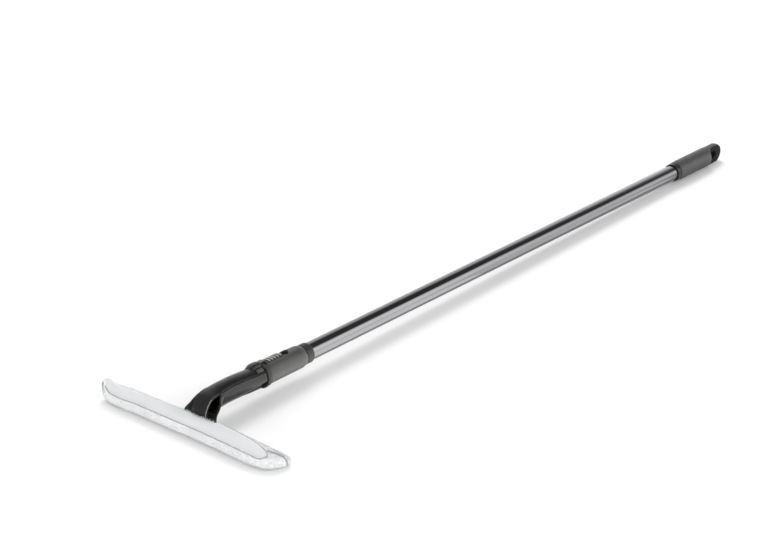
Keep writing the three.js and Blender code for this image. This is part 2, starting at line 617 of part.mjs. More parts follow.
function buildTool() {
  const { neck, outer } = buildNeck(poleFrame);
  const { lock, camStud, camCap } = buildLock();
  const pole = new THREE.Group();
  pole.applyMatrix4(poleFrame);
  pole.add(buildOuterPole(), lock, camStud, camCap);
  const latch = new THREE.Group();
  latch.applyMatrix4(latchFrame);
  latch.add(buildInnerPole(), buildCoupling(outer, latchFrame.clone().invert()), buildSlider());

  const tool = new THREE.Group();
  tool.add(buildHead(), neck, pole, latch);
  tool.position.y = -CENTRE_Y;
  const part = new THREE.Group();
  part.add(tool);
  return part;
}

export default buildTool();
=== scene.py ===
"""The telescopic washing wiper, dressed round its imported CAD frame."""
import json
import math
import random
from functools import partial

import bmesh
import bpy
from mathutils import Matrix, Vector, noise
from mathutils.bvhtree import BVHTree


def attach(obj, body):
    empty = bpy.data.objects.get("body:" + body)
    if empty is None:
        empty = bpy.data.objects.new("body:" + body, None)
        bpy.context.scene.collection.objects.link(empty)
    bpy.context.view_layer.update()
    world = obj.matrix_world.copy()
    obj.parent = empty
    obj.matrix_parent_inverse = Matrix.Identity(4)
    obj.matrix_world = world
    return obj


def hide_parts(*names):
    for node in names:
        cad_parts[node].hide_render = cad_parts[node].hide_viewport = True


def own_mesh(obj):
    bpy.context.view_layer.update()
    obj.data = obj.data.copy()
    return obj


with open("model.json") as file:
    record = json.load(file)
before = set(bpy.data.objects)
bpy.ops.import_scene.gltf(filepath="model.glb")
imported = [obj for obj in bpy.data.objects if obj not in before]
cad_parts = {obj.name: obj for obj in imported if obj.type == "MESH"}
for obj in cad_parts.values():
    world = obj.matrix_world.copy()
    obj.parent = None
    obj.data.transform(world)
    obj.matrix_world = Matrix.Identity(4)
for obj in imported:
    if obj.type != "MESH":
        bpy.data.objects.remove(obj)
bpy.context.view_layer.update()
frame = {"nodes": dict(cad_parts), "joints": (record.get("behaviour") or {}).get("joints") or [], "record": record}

MM = 0.001
COUPLING_Y = 110.0  # the coupling's face, measured from the head's middle, mm

# ------------------------------------------------------------------ frames
twist = next(j for j in frame["joints"] if j["name"] == "twist_lock")
UP_POLE = -Vector(twist["axis"]).normalized()
SIDE = Vector((1, 0, 0))
OUT = SIDE.cross(UP_POLE)
ORIGIN = Vector(twist["pos_m"])
POLE = Matrix.Translation(ORIGIN) @ Matrix((SIDE, UP_POLE, OUT)).transposed().to_4x4() @ Matrix.Scale(MM, 4)
HEAD = Matrix.Translation((0, ORIGIN.y - COUPLING_Y * MM, 0)) @ Matrix.Scale(MM, 4)
HEAD_INVERSE = HEAD.inverted()
LATCH_ROLL = -16  # of the latch about the pole, degrees
LATCH = POLE @ Matrix.Rotation(math.radians(LATCH_ROLL), 4, "Y")


# ------------------------------------------------------------------ materials
SCRATCH_DEPTH = 0.000012
WAVES_PER_PITCH = 0.314  # a band wave repeats every 0.314 / scale


def computed(tree, operation, first, second):
    """The outcome of a math node on two numbers or sockets."""
    made = tree.nodes.new("ShaderNodeMath")
    made.operation = operation
    for value, socket in zip((first, second), made.inputs):
        if isinstance(value, float):
            socket.default_value = value
        else:
            tree.links.new(value, socket)
    return made.outputs[0]


def node_material(name, base, rough, metallic=0.0, *, tone=0.12, tone_scale=60.0, grain=900.0,
                  grain_depth=0.00003, rough_spread=0.08, rough_scale=120.0, rubbed_and_lit_edges=0.0, rubbed_and_lit_edge_colour=None,
                  sheen=0.0, specular=0.5, scratches=0.0, weave=0.0, weave_pitch=0.0006,
                  tufts=0.0, tuft_scale=500.0, streak=(1, 1, 1)):
    """A procedural finish: blotchy tone, uneven roughness and grain, with paler edges (edge wear and a painted
    edge highlight), scratches, weave or tufts.
    """
    material = bpy.data.materials.new(name)
    material.use_nodes = True
    tree = material.node_tree
    nodes, links = tree.nodes, tree.links
    shader = nodes["Principled BSDF"]
    shader.inputs["Metallic"].default_value = metallic
    shader.inputs["Specular IOR Level"].default_value = specular
    shader.inputs["Sheen Weight"].default_value = sheen
    shader.inputs["Sheen Roughness"].default_value = 0.5
    place = nodes.new("ShaderNodeTexCoord").outputs["Object"]
    stretched = nodes.new("ShaderNodeMapping")
    stretched.inputs["Scale"].default_value = streak
    links.new(place, stretched.inputs["Vector"])
    spot = stretched.outputs["Vector"]

    def noise_of(scale, detail=4.0, vector=None, roughness=0.55):
        texture = nodes.new("ShaderNodeTexNoise")
        texture.inputs["Scale"].default_value = scale
        texture.inputs["Detail"].default_value = detail
        texture.inputs["Roughness"].default_value = roughness
        links.new(vector or place, texture.inputs["Vector"])
        return texture.outputs["Fac"]

    def ramp(source, stops):
        made = nodes.new("ShaderNodeValToRGB")
        elements = made.color_ramp.elements
        for element, (position, colour) in zip(elements, stops):
            element.position = position
            element.color = (*colour, 1)
        links.new(source, made.inputs["Fac"])
        return made.outputs["Color"]

    def spread(source, low, high, from_low=0.3, from_high=0.7):
        made = nodes.new("ShaderNodeMapRange")
        limits = {"From Min": from_low, "From Max": from_high, "To Min": low, "To Max": high}
        for key, value in limits.items():
            made.inputs[key].default_value = value
        links.new(source, made.inputs["Value"])
        return made.outputs["Result"]

    dark = [c * (1 - tone) for c in base]
    light = [min(1, c * (1 + tone)) for c in base]
    colour = ramp(noise_of(tone_scale, 5, spot), [(0.32, dark), (0.68, light)])
    rough_value = spread(noise_of(rough_scale, 5, spot),
                         max(0.03, rough - rough_spread), min(1, rough + rough_spread))

    # Convex edges turn paler: partly edge wear, partly a painted highlight where the edges catch light.
    if rubbed_and_lit_edges:
        edge = nodes.new("ShaderNodeNewGeometry").outputs["Pointiness"]
        rubbed_and_lit_edge_mask = computed(tree, "MULTIPLY", spread(edge, 0, 1, 0.53, 0.6),
                        spread(noise_of(400, 3), 0, rubbed_and_lit_edges, 0.35, 0.6))
        blend = nodes.new("ShaderNodeMix")
        blend.data_type = "RGBA"
        links.new(rubbed_and_lit_edge_mask, blend.inputs["Factor"])
        links.new(colour, blend.inputs["A"])
        pale = ramp(noise_of(300, 2), [(0.3, rubbed_and_lit_edge_colour or [c * 2.2 + 0.03 for c in base]),
                                       (0.7, rubbed_and_lit_edge_colour or [c * 2.8 + 0.05 for c in base])])
        links.new(pale, blend.inputs["B"])
        colour = blend.outputs["Result"]
    links.new(colour, shader.inputs["Base Color"])

    def bumped(source, distance, under=None):
        """The normal after one more layer of bump over the one before."""
        made = nodes.new("ShaderNodeBump")
        made.inputs["Distance"].default_value = distance
        links.new(source, made.inputs["Height"])
        if under:
            links.new(under, made.inputs["Normal"])
        return made.outputs["Normal"]

    normal = bumped(noise_of(grain, 2), grain_depth)
    if scratches:
        thin = nodes.new("ShaderNodeMapping")
        thin.inputs["Scale"].default_value = (1, 0.03, 1)
        thin.inputs["Rotation"].default_value = (0.05, 0.02, 0.03)
        links.new(place, thin.inputs["Vector"])
        lines = noise_of(1600, 2, thin.outputs["Vector"], 0.4)
        normal = bumped(lines, SCRATCH_DEPTH * scratches, normal)
        rub = spread(lines, 0, 0.12 * scratches, 0.55, 0.72)
        rough_value = computed(tree, "ADD", rough_value, rub)
    if weave:
        for turn in ("X", "Y"):
            wave = nodes.new("ShaderNodeTexWave")
            wave.wave_type = "BANDS"
            wave.bands_direction = turn
            wave.inputs["Scale"].default_value = WAVES_PER_PITCH / weave_pitch
            wave.inputs["Distortion"].default_value = 0.6
            wave.inputs["Detail"].default_value = 1.0
            links.new(place, wave.inputs["Vector"])
            normal = bumped(wave.outputs["Fac"], weave, normal)
    if tufts:
        cells = nodes.new("ShaderNodeTexVoronoi")
        cells.inputs["Scale"].default_value = tuft_scale
        links.new(place, cells.inputs["Vector"])
        normal = bumped(cells.outputs["Distance"], tufts, normal)
        normal = bumped(noise_of(tuft_scale * 2.6, 3), tufts * 0.6, normal)
    links.new(rough_value, shader.inputs["Roughness"])
    links.new(normal, shader.inputs["Normal"])
    return material


LOOKS = {
    "tube_lacquer": dict(
        base=(0.15, 0.15, 0.155), rough=0.17, metallic=1.0, tone=0.1, tone_scale=8, grain=500,
        grain_depth=0.000004, rough_spread=0.03, rough_scale=30, scratches=0.5, streak=(1, 0.1, 1)),
    "tube_bare": dict(base=(0.62, 0.63, 0.64), rough=0.3, metallic=1.0, scratches=1.0, streak=(1, 0.05, 1)),
    "grip_plastic": dict(
        base=(0.04, 0.041, 0.041), rough=0.5, tone=0.12, grain=1500, grain_depth=0.00005,
        rough_spread=0.08, rubbed_and_lit_edges=0.35, specular=0.4),
    "soft_grey": dict(
        base=(0.05, 0.05, 0.046), rough=0.46, tone=0.1, grain=1700, grain_depth=0.00004,
        rough_spread=0.07, rubbed_and_lit_edges=0.12, specular=0.3),
    "dark_plastic": dict(
        base=(0.016, 0.016, 0.016), rough=0.5, grain=1600, grain_depth=0.00003, rubbed_and_lit_edges=0.3, specular=0.3),
    "black_plastic": dict(
        base=(0.008, 0.008, 0.0075), rough=0.36, grain=1300, grain_depth=0.00002, rough_spread=0.07,
        rubbed_and_lit_edges=0.4, specular=0.27, rubbed_and_lit_edge_colour=(0.08, 0.08, 0.075)),
    "nylon": dict(base=(0.66, 0.65, 0.6), rough=0.42, tone=0.05, grain=900),
    "spring_steel": dict(base=(0.3, 0.3, 0.31), rough=0.32, metallic=1.0, scratches=0.8),
    "carrier_grey": dict(base=(0.3, 0.31, 0.32), rough=0.5, tone=0.07, grain=1200, rubbed_and_lit_edges=0.2),
    "hook_tape": dict(
        base=(0.78, 0.78, 0.77), rough=0.85, tone=0.06, tufts=0.0004, tuft_scale=900, sheen=0.3),
    "plush": dict(
        base=(0.86, 0.866, 0.87), rough=0.95, tone=0.05, tone_scale=45, grain=1400, grain_depth=0.0003,
        sheen=0.35, tufts=0.0007, tuft_scale=420, specular=0.15),
    "panel_cloth": dict(
        base=(0.63, 0.64, 0.65), rough=0.88, tone=0.03, tone_scale=25, grain=2500, grain_depth=0.00006,
        weave=0.00005, weave_pitch=0.0008, sheen=0.25, specular=0.2),
}
FINISH = {name: node_material(name, **look) for name, look in LOOKS.items()}
THREAD = node_material("seam_thread", (0.36, 0.37, 0.38), 0.8, tone=0.25, tone_scale=700, grain=2600,
                       grain_depth=0.0001, sheen=0.3, specular=0.2)
# Near-black painted shade, for parts set deep in recesses.
HOLLOW_PAINTED_SHADE = node_material("hollow_painted_shade", (0.008, 0.008, 0.008), 0.6, tone=0.2, grain=900, specular=0.2)
# Near-black, painted as the shade on the grip end's flats and inside its eye.
GRIP_FLAT_SHADE = node_material("grip_flat_painted_shade", (0.006, 0.006, 0.006), 0.6, tone=0.3, tone_scale=500, grain=700,
                          grain_depth=0.00012, specular=0.12)
# A lighter grey, painted as the highlight on the button's rib crests.
RIB_CREST_HIGHLIGHT = node_material("rib_crest_painted_highlight", (0.3, 0.3, 0.29), 0.42, tone=0.15, grain=1500, rubbed_and_lit_edges=0.5)
# A pale grey, painted as the highlight on the neck strut's chamfered edge.
RIM_PAINTED_HIGHLIGHT = node_material("rim_painted_highlight", (0.2, 0.2, 0.19), 0.4, tone=0.2, tone_scale=200, grain=1500, rubbed_and_lit_edges=0.4)
LUG_GREY = node_material("lug_grey", (0.05, 0.05, 0.048), 0.42, tone=0.12, grain=1300, rubbed_and_lit_edges=0.4)

for part in frame["record"]["subparts"]:
    for place in frame["nodes"][part["node"]].material_slots:
        place.material = FINISH[part["material_slot"]]
# The carriage and spring sit in the slot and are painted dark as the shade there.
for name in ("slider_carriage", "slider_spring"):
    for place in frame["nodes"][name].material_slots:
        place.material = HOLLOW_PAINTED_SHADE


# ------------------------------------------------------------------ mesh tools
def eased(t):
    t = min(max(t, 0.0), 1.0)
    return t * t * (3 - 2 * t)


def placed(name, data):
    """A new object in the scene, made of its data."""
    made = bpy.data.objects.new(name, data)
    bpy.context.scene.collection.objects.link(made)
    return made


def mesh_object(name, points, faces):
    mesh = bpy.data.meshes.new(name)
    mesh.from_pydata([tuple(p) for p in points], [], faces)
    mesh.update()
    return placed(name, mesh)


def outward(obj):
    work = bmesh.new()
    work.from_mesh(obj.data)
    bmesh.ops.recalc_face_normals(work, faces=work.faces)
    work.to_mesh(obj.data)
    work.free()


def baked(obj):
    """The object with its modifiers turned into mesh."""
    bpy.context.view_layer.update()
    graph = bpy.context.evaluated_depsgraph_get()
    mesh = bpy.data.meshes.new_from_object(obj.evaluated_get(graph))
    obj.modifiers.clear()
    obj.data = mesh
    return obj


def carve(obj, *tools, operation="DIFFERENCE"):
    for tool in tools:
        step = obj.modifiers.new("carve", "BOOLEAN")
        step.operation = operation
        step.object = tool
        step.solver = "EXACT"
        baked(obj)
        bpy.data.objects.remove(tool)
    return obj


def duplicate(obj):
    twin = obj.copy()
    twin.data = obj.data.copy()
    bpy.context.scene.collection.objects.link(twin)
    return twin


def softened(obj, width=0.3, angle=32, segments=2):
    step = obj.modifiers.new("soft", "BEVEL")
    step.width = width
    step.limit_method = "ANGLE"
    step.angle_limit = math.radians(angle)
    step.segments = segments
    step.use_clamp_overlap = True
    return baked(obj)


def finished(obj, frame_matrix, body, slot, *nodes, sharp=32):
    """Bring a piece from millimetres into the frame, shade it, and say what it is."""
    obj.data.transform(frame_matrix)
    obj.data.materials.clear()
    obj.data.materials.append(FINISH[slot])
    obj.data.shade_smooth()
    obj.data.set_sharp_from_angle(angle=math.radians(sharp))
    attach(obj, body)
    if nodes:
        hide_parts(*nodes)
    return obj


def filleted(outline, radius, closed=False, steps=3):
    """The outline with each corner rounded by about the radius."""
    points = [Vector(p) for p in outline]
    count = len(points)
    result = []
    for i, corner in enumerate(points):
        if not closed and i in (0, count - 1):
            result.append(corner)
            continue
        before, after = points[i - 1], points[(i + 1) % count]
        reach = min(radius, (before - corner).length / 2.02, (after - corner).length / 2.02)
        start = corner + (before - corner).normalized() * reach
        end = corner + (after - corner).normalized() * reach
        for k in range(steps + 1):
            t = k / steps
            result.append(start.lerp(corner, t).lerp(corner.lerp(end, t), t))
    return result


def lathe(name, outline, sides=96):
    """A turned solid about Y from (radius, y) points; an outline off the axis closes on itself."""
    on_axis = outline[0][0] < 1e-9
    points, faces = [], []
    rows = []
    for radius, y in outline:
        if radius < 1e-9:
            rows.append([len(points)])
            points.append((0, y, 0))
        else:
            rows.append([len(points) + i for i in range(sides)])
            for i in range(sides):
                angle = 2 * math.pi * i / sides
                points.append((radius * math.cos(angle), y, radius * math.sin(angle)))
    pairs = list(zip(rows, rows[1:])) + ([] if on_axis else [(rows[-1], rows[0])])
    for low, high in pairs:
        for i in range(sides):
            j = (i + 1) % sides
            a = [low[i % len(low)], low[j % len(low)]]
            b = [high[j % len(high)], high[i % len(high)]]
            face = list(dict.fromkeys(a + b))
            if len(face) > 2:
                faces.append(face)
    made = mesh_object(name, points, faces)
    outward(made)
    return made


def loft(name, rings):
    """A closed skin over rings of equal count."""
    count = len(rings[0])
    points = [p for ring in rings for p in ring]
    faces = []
    for r in range(len(rings) - 1):
        for i in range(count):
            j = (i + 1) % count
            faces.append((r * count + i, r * count + j, (r + 1) * count + j, (r + 1) * count + i))
    faces.append(tuple(range(count)))
    faces.append(tuple((len(rings) - 1) * count + i for i in reversed(range(count))))
    made = mesh_object(name, points, faces)
    outward(made)
    return made


def prism(name, outline, low, high, axis):
    """A flat outline pushed along an axis: its points are the other two coordinates in order."""
    def place(u, v, w):
        return {"X": (w, u, v), "Z": (u, v, w)}[axis]
    count = len(outline)
    points = [place(u, v, low) for u, v in outline] + [place(u, v, high) for u, v in outline]
    faces = [tuple(range(count)), tuple(reversed(range(count, 2 * count)))]
    faces += [(i, (i + 1) % count, count + (i + 1) % count, count + i) for i in range(count)]
    made = mesh_object(name, points, faces)
    outward(made)
    return made


def slab(name, low, high):
    (x0, y0, z0), (x1, y1, z1) = low, high
    return prism(name, [(x0, y0), (x1, y0), (x1, y1), (x0, y1)], z0, z1, "Z")


def bezier(a, b, c, d, steps=16):
    points = []
    for k in range(steps + 1):
        t = k / steps
        s = 1 - t
        points.append(tuple(s**3 * a[i] + 3 * s * s * t * b[i] + 3 * s * t * t * c[i] + t**3 * d[i]
                            for i in (0, 1)))
    return points


def tube(name, path, radius, sides=10):
    """A round tube along points; radius is a number or a function of the point's index."""
    path = [Vector(p) for p in path]
    rings = []
    normal = None
    turns = [2 * math.pi * k / sides for k in range(sides)]
    for i, p in enumerate(path):
        along = (path[min(i + 1, len(path) - 1)] - path[max(i - 1, 0)]).normalized()
        if normal is None:
            normal = along.orthogonal().normalized()
        normal = (normal - along * normal.dot(along)).normalized()
        side = along.cross(normal)
        r = radius(i) if callable(radius) else radius
        rings.append([p + r * (normal * math.cos(turn) + side * math.sin(turn)) for turn in turns])
    return loft(name, rings)


def joined(name, objects):
    """Several objects' meshes as one object."""
    work = bmesh.new()
    for obj in objects:
        work.from_mesh(obj.data)
        bpy.data.objects.remove(obj)
    mesh = bpy.data.meshes.new(name)
    work.to_mesh(mesh)
    work.free()
    return placed(name, mesh)


# ------------------------------------------------------------------ the pole
def build_pole():
    tube_outline = filleted([(10.25, 73.2), (11, 73.2), (11, 921.8), (10.25, 921.8)], 0.2, closed=True)
    finished(lathe("outer_tube_skin", tube_outline, 128), POLE, "outer_pole", "tube_lacquer", "outer_tube")

    collar = filleted([(9.55, 68.6), (11.9, 68.6), (12.45, 69.8), (12.5, 78.4), (12.2, 79.9), (11.5, 80.5),
                       (11.06, 80.3), (11.06, 73), (9.55, 72.6)], 0.5, closed=True)
    finished(lathe("collar_skin", collar), POLE, "outer_pole", "dark_plastic", "mouth_collar")

    ferrule = filleted([(11.05, 845), (12.1, 845.1), (12.6, 846), (12.6, 849.6), (12.25, 850.2), (12.25, 851),
                        (12.6, 851.6), (12.6, 853.45), (11.05, 853.45)], 0.4, closed=True)
    finished(lathe("ferrule_skin", ferrule), POLE, "outer_pole", "black_plastic", "grip_ferrule")


def build_grip():
    lip = filleted([(11.3, 854), (12.6, 854), (12.95, 854.8), (12.95, 856), (12.6, 856.6), (12.75, 857.4),
                    (13.3, 859.5), (13.5, 866)], 0.35)
    outline = [(0, 925), (11.3, 925), *lip]
    outline += [(13.5, y) for y in range(872, 952, 8)]
    for k in range(14):
        angle = math.pi / 2 * k / 14
        outline.append((13.5 * math.cos(angle), 952 + 13 * math.sin(angle)))
    body = lathe("grip_skin", [*outline, (0, 965)], 128)

    scoop_side = bezier((16, 926.4), (8.2, 928.3), (4.6, 932), (4.6, 940), 20)
    scoop = [*scoop_side, (4.6, 972), (16, 972)]
    right = prism("scoop_right", scoop, -20, 20, "Z")
    left = prism("scoop_left", [(-x, y) for x, y in scoop], -20, 20, "Z")
    eye = []
    for centre, start in ((939, 90), (945.5, -90)):
        for k in range(17):
            angle = math.radians(start + 180 * k / 16)
            eye.append((centre + 5.5 * math.cos(angle), 5.5 * math.sin(angle)))
    hole = prism("eye", eye, -20, 20, "X")
    carve(body, right, left, hole)
    softened(body, 0.6, 28, 3)

    def flat(face):
        """Whether a face lies on the end's two flats or inside the eye, which are painted dark as shade."""
        x, y, z = face.center
        on_side = abs(face.normal.x) > 0.8 and y > 934 and abs(x) < 6
        return int(on_side or y > 932 and abs(x) < 4.2 and abs(z) < 6)

    flats = [flat(face) for face in body.data.polygons]
    finished(body, POLE, "outer_pole", "grip_plastic", "grip", sharp=40)
    body.data.materials.append(GRIP_FLAT_SHADE)
    body.data.polygons.foreach_set("material_index", flats)


# ------------------------------------------------------------------ the neck
# Along the neck: y, z, half width, half depth, and how far it has spread into the foot, 0 to 1.
STATIONS = [(111, 28.1, 14.1, 14.1, 0), (92, 28.6, 14.1, 13.9, 0), (72, 30.4, 14.1, 13.9, 0),
            (52, 31.2, 14.1, 14, 0), (35, 30.2, 15.4, 14, 0), (23, 26.8, 22, 13, 0.3),
            (15, 20.8, 28, 8.4, 0.8), (12.8, 12, 30.5, 6.2, 1)]


def curve_point(points, share, centripetal):
    """A point on the Catmull-Rom curve through the points: share 0 is the first of them, 1 the last."""
    last = len(points) - 1
    place = last * min(max(share, 0), 1)
    i = min(int(place), last - 1)
    w = place - i
    p1, p2 = points[i], points[i + 1]
    p0 = points[i - 1] if i else 2 * p1 - p2
    p3 = points[i + 2] if i + 2 <= last else 2 * p2 - p1
    if centripetal:
        d0, d1, d2 = (math.sqrt((b - a).length) for a, b in ((p0, p1), (p1, p2), (p2, p3)))
        t1 = ((p1 - p0) / d0 - (p2 - p0) / (d0 + d1) + (p2 - p1) / d1) * d1
        t2 = ((p2 - p1) / d1 - (p3 - p1) / (d1 + d2) + (p3 - p2) / d2) * d1
    else:
        t1, t2 = 0.5 * (p2 - p0), 0.5 * (p3 - p1)
    return p1 + t1 * w + (-3 * p1 + 3 * p2 - 2 * t1 - t2) * w**2 + (2 * p1 - 2 * p2 + t1 + t2) * w**3


def neck_form(name, inset=0.0, start=0.0, end=1.0, rings=84, sides=96):
    """The neck's closed form over its stations, or one set in from it, clipped to the foot's outline."""
    centres = [Vector((0, y, z)) for y, z, *_ in STATIONS]
    sizes = [Vector(size) for _, _, *size in STATIONS]
    skin = []
    for r in range(rings):
        share = start + (end - start) * r / (rings - 1)
        centre = curve_point(centres, share, True)
        ahead, behind = (curve_point(centres, share + step, True) for step in (1e-3, -1e-3))
        along = (ahead - behind).normalized()
        up = along.cross(SIDE)
        wide, deep, spade = curve_point(sizes, share, False)
        ring = []
        for k in range(sides):
            angle = 2 * math.pi * k / sides
            c, s = math.cos(angle), math.sin(angle)
            taper = (1 + 0.28 * spade * s) * (1 - 0.3 * spade * (1 - max(s, 0)))
            point = (centre + SIDE * (wide - inset) * c * taper
                     + up * (deep - inset) * s * (1 + 0.5 * spade * c * c))
            narrowest = 5 + 9.2 * eased((point.z - 17) / 11)
            reach = max(35 + 0.85 * (point.z - 18) - 1.05 * point.y, narrowest) - inset
            point.x = max(-reach, min(reach, point.x))
            ring.append(point)
        skin.append(ring)
    return loft(name, skin)


def upper_region(play):
    line = [(y, z + 9.6 - play) for y, z, *_ in STATIONS[:5]]
    apex = (30 - 2 * play, 38 - play)
    spine = prism("spine", [(130, line[0][1]), *line, apex, (apex[0], 70), (130, 70)], -40, 40, "X")
    side = 11.3 + play
    strut = prism("strut", [(30 + play, 38 - 2 * play), (22 + play, 29 - play), (12.6 + play, 10), (-10, 10),
                            (-10, 70), (30 + play, 70)], -side, side, "X")
    return carve(spine, strut, operation="UNION")


def build_neck():
    shell = neck_form("neck_shell")
    hollow = neck_form("hollow", 2.4, 0.24, 1.0, 60, 64)
    carve(hollow, slab("foot_floor", (-60, -60, -10), (60, 24, 17.2)))
    under = slab("under", (-60, -20, -10), (60, 60, 14.75))
    panel = slab("panel", (-60, -40, -10), (60, 6.95, 18.2))
    beyond = slab("beyond", (-60, -3.8, -60), (60, 60, 60))
    beyond.data.transform(HEAD.inverted() @ POLE)
    edge = bezier((8.2, 16.4), (8.6, 20), (20, 26), (30, 38), 24)
    window = [(27, 60), (-10, 60), (-10, 16.4), *edge]
    right = prism("window_right", window, 11, 60, "X")
    left = prism("window_left", window, -60, -11, "X")
    carve(shell, hollow, under, panel, beyond, right, left)

    lower = duplicate(shell)
    lower.name = "neck_lower_skin"
    carve(lower, upper_region(1.0))
    shell.name = "neck_upper_skin"
    carve(shell, upper_region(0.0), operation="INTERSECT")
    for piece, node in ((shell, "neck_upper_shell"), (lower, "neck_lower_shell")):
        softened(piece, 0.32, 38, 2)
        finished(piece, HEAD, "inner_pole", "black_plastic", node, sharp=40)

    crest = BVHTree.FromObject(bpy.data.objects["neck_upper_skin"], bpy.context.evaluated_depsgraph_get())
    # The right rim is painted pale grey as a highlight along the strut's edge; the left rim stays black.
    for name, side, look in (("left", -1, FINISH["black_plastic"]), ("right", 1, RIM_PAINTED_HIGHLIGHT)):
        path = []
        for k in range(40):
            z = 17.6 + 19.6 * k / 39
            hit, *_ = crest.ray_cast(HEAD @ Vector((side * 10.6, -40, z)), Vector((0, 1, 0)))
            if hit:
                path.append((side * 10.72, (HEAD_INVERSE @ hit).y + 0.12, z))
        rim = tube(f"window_rim_{name}", path, 0.4, 10)
        finished(rim, HEAD, "inner_pole", "black_plastic", sharp=60)
        rim.data.materials[0] = look

    flange = filleted([(9, -3.6), (13.6, -3.6), (14.6, -2.6), (14.6, -1.2), (14.1, -0.3), (9, -0.3)],
                      0.45, closed=True)
    collar = swollen(lathe("neck_flange_skin", flange), 12.5, 1.0, LATCH_ROLL)
    finished(collar, POLE, "inner_pole", "black_plastic", "neck_flange")


def swollen(obj, inner, growth, roll):
    """Push what lies beyond the inner radius outward, everywhere but under the latch's tongue."""
    tongue = Vector((math.sin(math.radians(roll)), 0, math.cos(math.radians(roll))))
    for vertex in obj.data.vertices:
        radial = Vector((vertex.co.x, 0, vertex.co.z))
        if radial.length > inner:
            away = eased((radial.angle(tongue) - 0.6) / 0.35)
            vertex.co += radial.normalized() * growth * away
    return obj


# ------------------------------------------------------------------ the latch
def saddle_section(half, top, foot, drop):
    """A closed section over the pole's top: across x, a rounded crown from foot up to top."""
    points, steps = [], 10
    for k in range(steps + 1):
        u = -1 + 2 * k / steps
        x = half * math.copysign(abs(u) ** 0.62, u)
        z = math.sqrt(max(top * top - x * x, 0)) - drop * abs(u) ** 5
        points.append((x, z))
    return points + [(half, foot), (-half, foot)]


def build_keeper():
    rings = []
    profile = [(-20.5, 13.2, 6.6), (-19.2, 13.9, 6.8), (-16.5, 15.7, 7), (-13.5, 17.2, 7.1),
               (-10.5, 17.85, 7.2), (-6.5, 17.9, 7.2), (-3.2, 17.8, 7.2), (-1.9, 17.4, 7.1),
               (-1.3, 16.6, 6.9)]
    fine = []
    for (y0, t0, w0), (y1, t1, w1) in zip(profile, profile[1:]):
        fine += [(y0 + (y1 - y0) * k / 3, t0 + (t1 - t0) * k / 3, w0 + (w1 - w0) * k / 3) for k in range(3)]
    fine.append(profile[-1])
    for y, top, half in fine:
        foot = 10.5 if y < -4 else 14.95
        rings.append([(x, y, max(z, foot)) for x, z in saddle_section(half, top, foot, 1.5)])
    keeper = loft("latch_keeper_skin", rings)
    pocket = slab("pocket", (-4.9, -7.5, 13.6), (4.9, 6, 16.9))
    seat = lathe("seat", [(0, -3.95), (14.95, -3.95), (14.95, 8), (0, 8)], 96)
    carve(keeper, pocket, seat)
    softened(keeper, 0.35, 40, 2)
    finished(keeper, LATCH, "inner_pole", "black_plastic", "latch_keeper", sharp=45)

    for name, side in (("left", -1), ("right", 1)):
        outline = filleted([(-1.9, -14.8), (1.9, -14.8), (2.1, -5.2), (-2.1, -5.2)], 0.8, closed=True)
        lug = prism(f"bayonet_lug_{name}_skin", outline, 13.4, 15.6, "Z")
        softened(lug, 0.5, 40, 3)
        lug.data.transform(Matrix.Rotation(math.radians(48 * side), 4, "Y"))
        finished(lug, LATCH, "inner_pole", "carrier_grey", f"bayonet_lug_{name}", sharp=50)
        lug.data.materials[0] = LUG_GREY


def slot_outline(half, start, end):
    """A slot along y, square at its start and round at its end."""
    points, steps = [(-half, start), (half, start)], 20
    for k in range(steps + 1):
        angle = math.pi * k / steps
        points.append((half * math.cos(angle), end - half + half * math.sin(angle)))
    return points


def build_adapter():
    ring = filleted([(9, 0), (13.9, 0), (14.5, 0.5), (14.5, 1.5), (14.1, 1.9), (13.6, 2.1), (13.6, 2.7),
                     (14.1, 2.9), (14.4, 3.3), (14.4, 4.1), (9, 4.2)], 0.3, closed=True)
    rim = swollen(lathe("coupling_ring_skin", ring, 128), 13.4, 0.8, 0)
    finished(rim, LATCH, "inner_pole", "soft_grey", "coupling_ring")

    body = filleted([(9, 4.5), (13.5, 4.5), (14, 5.1), (14.02, 20), (14.05, 40), (14.05, 60), (13.9, 62.5),
                     (13.2, 66), (12.7, 68), (9.65, 68), (9.65, 34), (9, 34)], 0.5, closed=True)
    sleeve = lathe("adapter_sleeve_skin", body, 160)
    cutter = prism("slot", slot_outline(8.2, 1, 47), 0, 30, "Z")
    core = lathe("core", [(0, -4), (10.8, -4), (10.8, 60), (0, 60)], 96)
    carve(cutter, core)
    carve(sleeve, cutter)
    softened(sleeve, 0.28, 40, 2)
    finished(sleeve, LATCH, "inner_pole", "soft_grey", "adapter_sleeve", sharp=40)

    brink = slot_outline(8.75, 4.9, 47.6)[1:] + [(-8.75, 4.9)]
    dense = []
    for (x0, y0), (x1, y1) in zip(brink, brink[1:]):
        steps = max(1, int(math.dist((x0, y0), (x1, y1)) / 1.5))
        dense += [(x0 + (x1 - x0) * k / steps, y0 + (y1 - y0) * k / steps) for k in range(steps)]
    dense.append(brink[-1])
    path = [(x, y, math.sqrt(14.0**2 - x * x)) for x, y in dense]
    border = tube("slot_border", path, 0.7, 10)
    finished(border, LATCH, "inner_pole", "soft_grey", sharp=60)

    pin = filleted([(0, -13.7), (1.95, -13.7), (1.95, 13.7), (0, 13.7)], 0.4)
    shaft = lathe("adapter_pin_skin", pin, 32)
    shaft.data.transform(Matrix.Translation((0, 52, 0)) @ Matrix.Rotation(math.pi / 2, 4, "X"))
    finished(shaft, LATCH, "inner_pole", "spring_steel", "adapter_pin")


